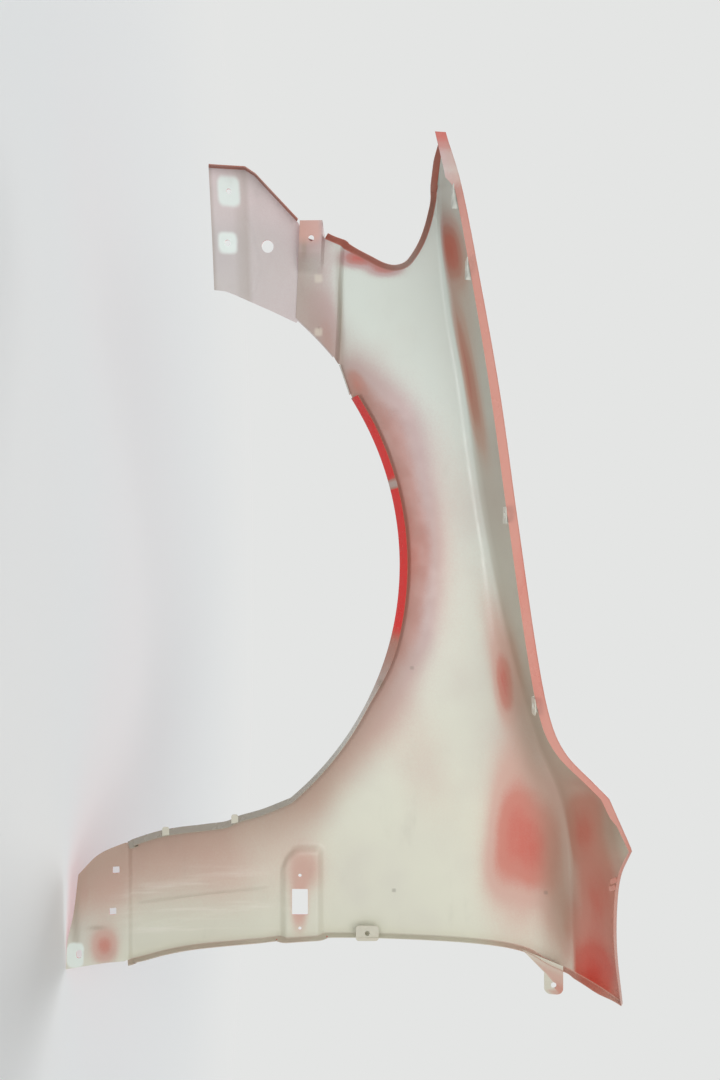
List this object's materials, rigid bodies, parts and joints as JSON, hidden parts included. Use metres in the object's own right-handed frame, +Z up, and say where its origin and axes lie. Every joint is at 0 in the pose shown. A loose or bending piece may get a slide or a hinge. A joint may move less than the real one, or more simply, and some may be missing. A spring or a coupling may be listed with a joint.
{
  "type": "car fender",
  "caption": "Right-hand car front fender pressed from steel sheet, with wheel arch lip, folded hood edge with bolt tabs, side-lamp pocket and a welded bumper bracket.",
  "frame": {"origin": "underside of the rearmost hood-side bolt tab, 8 mm inboard of its bolt hole, where the tab rests on the inner wing", "axes": "+X forward along the car, +Y inboard, +Z up"},
  "size_m": [1.0625, 0.1819, 0.7158],
  "materials": {
    "fender_primer": "pale grey-green primer inside with red overspray, gloss red outside",
    "bracket_primer": "pale grey primer with a pink tint of overspray"
  },
  "bodies": {
    "root": {"fender_panel": "fender_primer", "bumper_bracket": "bracket_primer"}
  },
  "joints": []
}
